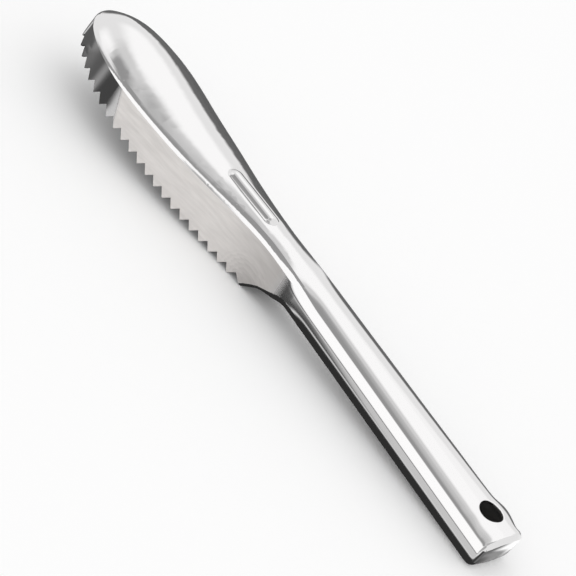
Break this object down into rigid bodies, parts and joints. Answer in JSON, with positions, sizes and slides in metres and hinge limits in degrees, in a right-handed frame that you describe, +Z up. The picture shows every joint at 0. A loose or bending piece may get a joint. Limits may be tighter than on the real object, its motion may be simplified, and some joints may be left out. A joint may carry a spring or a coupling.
{
  "type": "fish scaler",
  "caption": "Fish scaler pressed from one steel sheet: domed head with a toothed skirt, hollow straight handle, hanging hole.",
  "frame": {"origin": "centre of the bounding box at the level the part lies on", "axes": "+X from the toothed head to the handle end, +Y to the left seen along +X, +Z up; the part lies on its last teeth and on the bend under the end of the handle"},
  "size_m": [0.23, 0.0332, 0.03],
  "materials": {
    "scaler": "polished stainless sheet, with a ground finish on the toothed skirt"
  },
  "bodies": {
    "root": {"scaler": "scaler"}
  },
  "joints": []
}
